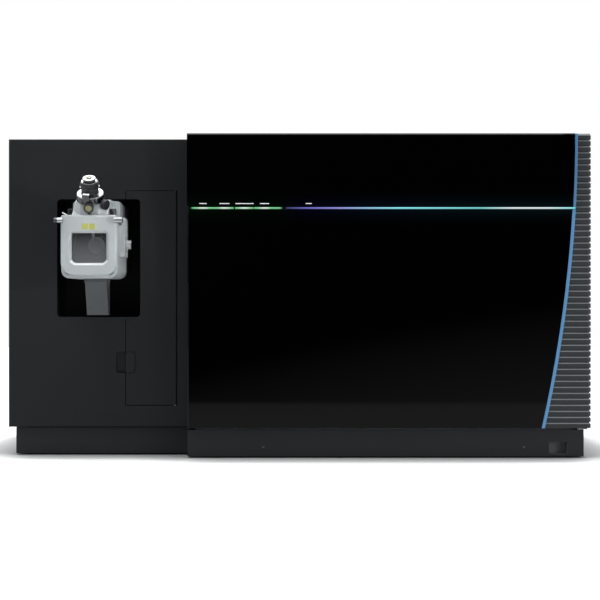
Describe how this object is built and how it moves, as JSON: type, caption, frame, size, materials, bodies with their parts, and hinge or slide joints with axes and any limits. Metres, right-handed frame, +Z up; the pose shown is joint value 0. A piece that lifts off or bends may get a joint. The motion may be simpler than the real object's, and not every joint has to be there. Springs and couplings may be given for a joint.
{
  "type": "mass spectrometer",
  "caption": "Bench mass spectrometer: a source cabinet with an alcove and spray ion source, a gloss black analyser cabinet with a light line, curved blue trim and ribbed corner.",
  "frame": {"origin": "centre of the footprint at bench level", "axes": "+X to the right as the user faces the front, -Y towards the user, +Z up"},
  "size_m": [1.5, 0.848, 0.828],
  "materials": {
    "rubber": "moulded rubber",
    "tray": "black powder coat",
    "plinth": "dark textured powder coat",
    "frame": "grey primer",
    "left_paint": "dark charcoal, fine satin texture",
    "alcove_black": "black satin",
    "steel": "turned steel",
    "gloss_black": "gloss black",
    "status_light": "light guide, glowing green",
    "scan_light": "light guide, blue to white",
    "blue_trim": "metallic light blue",
    "rib_grey": "satin mid grey",
    "side_grey": "dark grey powder coat",
    "cast_grey": "cast, painted grey",
    "cast_light": "cast, light grey satin",
    "sight_glass": "tinted sight glass",
    "seal_black": "black, matt",
    "chrome": "polished",
    "dial_black": "black, knurled",
    "pump_paint": "light grey paint",
    "alloy": "machined",
    "fan_black": "black",
    "switch_black": "black"
  },
  "bodies": {
    "cabinet": {"levelling_feet": "rubber", "base_tray": "tray", "left_plinth": "plinth", "right_plinth": "plinth", "cabinet_frame": "frame", "left_front_panel": "left_paint", "left_side_panel": "left_paint", "left_top_panel": "left_paint", "alcove_liner": "alcove_black", "fluidics_bay": "alcove_black", "door_hinge_pins": "steel", "lower_fascia": "gloss_black", "visor": "gloss_black", "status_lights": "status_light", "scan_light": "scan_light", "curved_trim": "blue_trim", "ribbed_corner": "rib_grey", "cheek_panel": "left_paint", "right_side_panel": "side_grey", "right_top_panel": "side_grey", "rear_panels": "side_grey", "source_mount": "cast_grey", "sweep_cone": "steel", "syringe_pump": "pump_paint", "syringe_barrel": "sight_glass", "divert_valve": "steel", "vacuum_manifold": "alloy", "manifold_lid": "alloy", "manifold_stand": "frame", "ion_guide": "steel", "analyser_cells": "steel", "turbo_bodies": "alloy", "foreline_stubs": "steel", "fan_frames": "seal_black", "power_entry": "seal_black", "electronics": "pump_paint"},
    "access_door": {"access_door": "left_paint"},
    "ion_source": {"source_housing": "cast_light", "source_cover": "cast_light", "window_glass": "sight_glass", "window_retainer": "seal_black", "thumb_screws": "dial_black", "drain_duct": "cast_grey"},
    "lock_lever_left": {"lock_lever_left": "chrome"},
    "lock_lever_right": {"lock_lever_right": "chrome"},
    "lock_ring": {"lock_ring": "chrome"},
    "probe": {"probe_tube": "steel", "probe_collar": "seal_black", "probe_bands": "chrome", "probe_grip": "seal_black"},
    "depth_dial": {"depth_dial": "dial_black"},
    "side_dial": {"side_dial": "dial_black"},
    "needle_knob": {"needle_knob": "chrome"},
    "pump_screw": {"pump_screw": "steel"},
    "pump_pusher": {"pump_pusher": "steel"},
    "turbo_rotor_left": {"turbo_rotor_left": "alloy"},
    "turbo_rotor_right": {"turbo_rotor_right": "alloy"},
    "fan_rotor_left": {"fan_rotor_left": "fan_black"},
    "fan_rotor_right": {"fan_rotor_right": "fan_black"},
    "main_switch": {"main_switch": "switch_black"}
  },
  "joints": [
    {"name": "door_swing", "type": "hinge", "parent": "cabinet", "child": "access_door", "pos_m": [-0.317, -0.216, 0.409], "axis": [0, 0, 1], "range_deg": [0, 95]},
    {"name": "source_draw", "type": "slide", "parent": "cabinet", "child": "ion_source", "axis": [0, -1, 0], "range_m": [0, 0.12]},
    {"name": "lever_left_lift", "type": "hinge", "parent": "ion_source", "child": "lock_lever_left", "pos_m": [-0.5893, -0.36, 0.601], "axis": [-1, 0, 0], "range_deg": [0, 90]},
    {"name": "lever_right_lift", "type": "hinge", "parent": "ion_source", "child": "lock_lever_right", "pos_m": [-0.4427, -0.36, 0.601], "axis": [-1, 0, 0], "range_deg": [0, 90]},
    {"name": "ring_turn", "type": "hinge", "parent": "ion_source", "child": "lock_ring", "pos_m": [-0.516, -0.3785, 0.66375], "axis": [0, -0.5, 0.866], "range_deg": [0, 45]},
    {"name": "probe_lift", "type": "slide", "parent": "ion_source", "child": "probe", "axis": [0, -0.5, 0.866], "range_m": [0, 0.12]},
    {"name": "depth_dial_turn", "type": "hinge", "parent": "ion_source", "child": "depth_dial", "pos_m": [-0.516, -0.40454, 0.63485], "axis": [0, -0.866, -0.5], "range_deg": [0, 300]},
    {"name": "side_dial_turn", "type": "hinge", "parent": "ion_source", "child": "side_dial", "pos_m": [-0.48123, -0.39132, 0.64249], "axis": [0.848, -0.4589, -0.265], "range_deg": [0, 300]},
    {"name": "needle_turn", "type": "hinge", "parent": "ion_source", "child": "needle_knob", "pos_m": [-0.4344, -0.305, 0.544], "axis": [1, 0, 0], "range_deg": [0, 300]},
    {"name": "pusher_feed", "type": "slide", "parent": "cabinet", "child": "pump_pusher", "axis": [0, 0, 1], "range_m": [0, 0.045]},
    {"name": "screw_turn", "type": "hinge", "parent": "cabinet", "child": "pump_screw", "pos_m": [-0.379, -0.152, 0.245], "axis": [0, 0, 1], "range_deg": [0, 1080]},
    {"name": "turbo_left_spin", "type": "hinge", "parent": "cabinet", "child": "turbo_rotor_left", "pos_m": [-0.414, 0.062, 0.345], "axis": [0, 0, 1], "continuous": true},
    {"name": "turbo_right_spin", "type": "hinge", "parent": "cabinet", "child": "turbo_rotor_right", "pos_m": [0.1112, 0.062, 0.345], "axis": [0, 0, 1], "continuous": true},
    {"name": "fan_left_spin", "type": "hinge", "parent": "cabinet", "child": "fan_rotor_left", "pos_m": [0.25825, 0.376, 0.52], "axis": [0, 1, 0], "continuous": true},
    {"name": "fan_right_spin", "type": "hinge", "parent": "cabinet", "child": "fan_rotor_right", "pos_m": [0.44825, 0.376, 0.52], "axis": [0, 1, 0], "continuous": true},
    {"name": "main_switch_rock", "type": "hinge", "parent": "cabinet", "child": "main_switch", "pos_m": [0.6512, 0.39, 0.195], "axis": [1, 0, 0], "range_deg": [0, 14]}
  ],
  "couplings": [
    {"joint": "screw_turn", "follows": "pusher_feed", "rad_per_m": 418.8}
  ]
}
